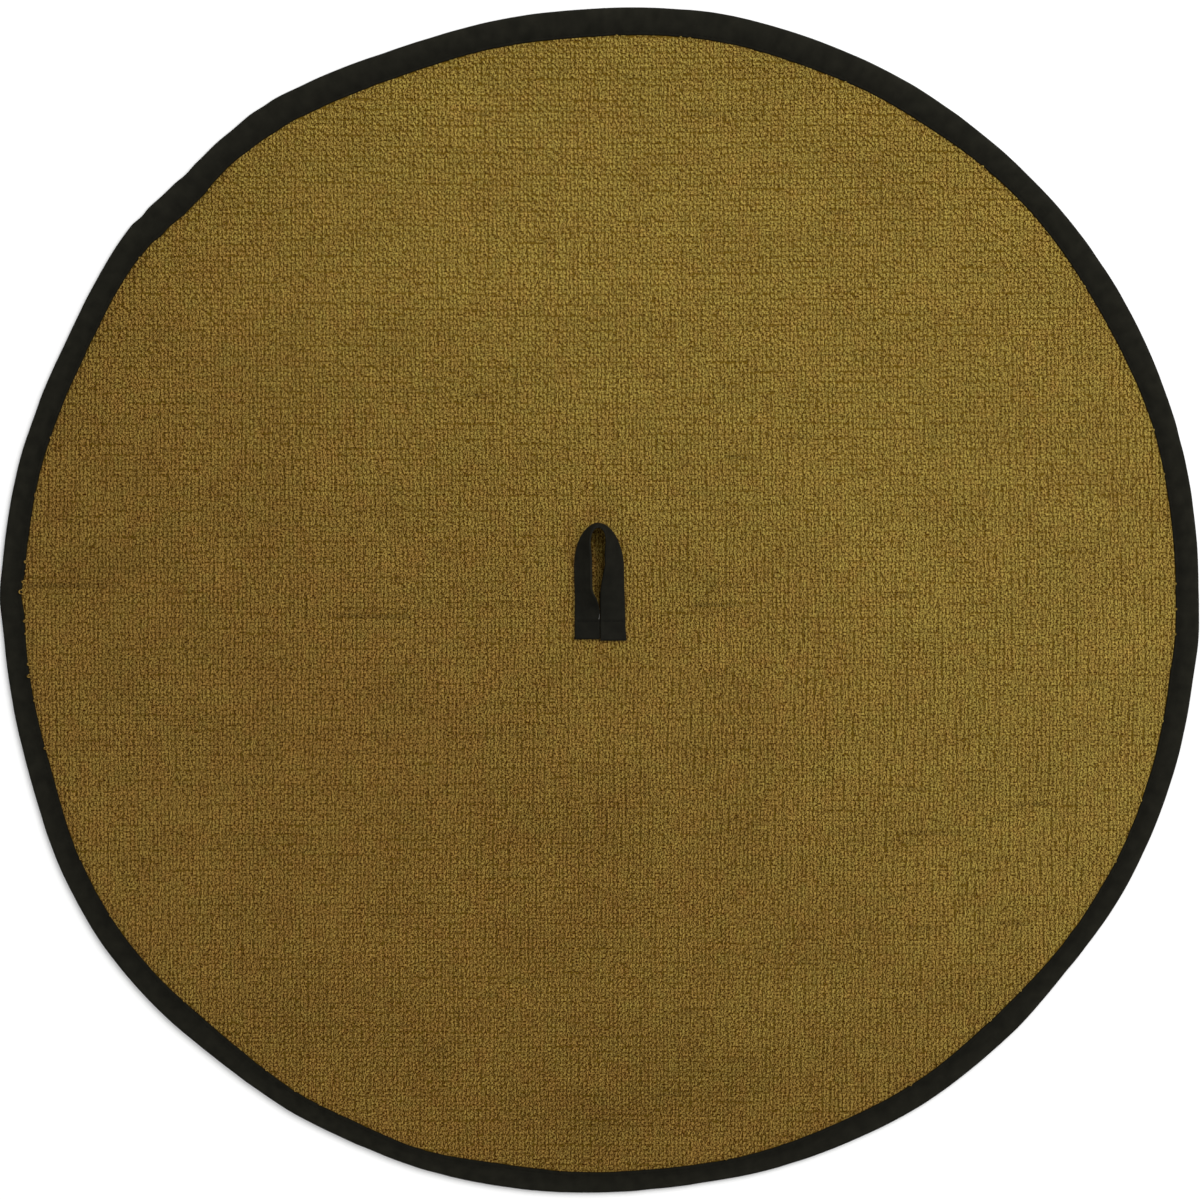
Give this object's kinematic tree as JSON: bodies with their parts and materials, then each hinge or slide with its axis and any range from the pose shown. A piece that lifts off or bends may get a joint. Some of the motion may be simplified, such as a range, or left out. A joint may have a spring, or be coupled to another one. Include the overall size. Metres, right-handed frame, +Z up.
{
  "type": "round terry hand towel",
  "caption": "Round terry cloth hand towel laid flat, its edge bound with dark folded tape, with a tape hanging loop sewn on at its middle.",
  "frame": {"origin": "middle of the flat underside that the towel lies on", "axes": "+Z up, out of the face that carries the hanging loop; +Y in the plane of the cloth, towards the crown of the loop; +X to the right of the loop seen from above"},
  "size_m": [0.6008, 0.5947, 0.0167],
  "materials": {
    "terry": "looped cotton pile, olive mustard, matte",
    "binding_tape": "plain woven cotton tape, black, matte",
    "loop_tape": "twill woven cotton tape, black, matte"
  },
  "bodies": {
    "root": {"terry_cloth": "terry", "edge_binding": "binding_tape", "hanging_loop": "loop_tape"}
  },
  "joints": []
}
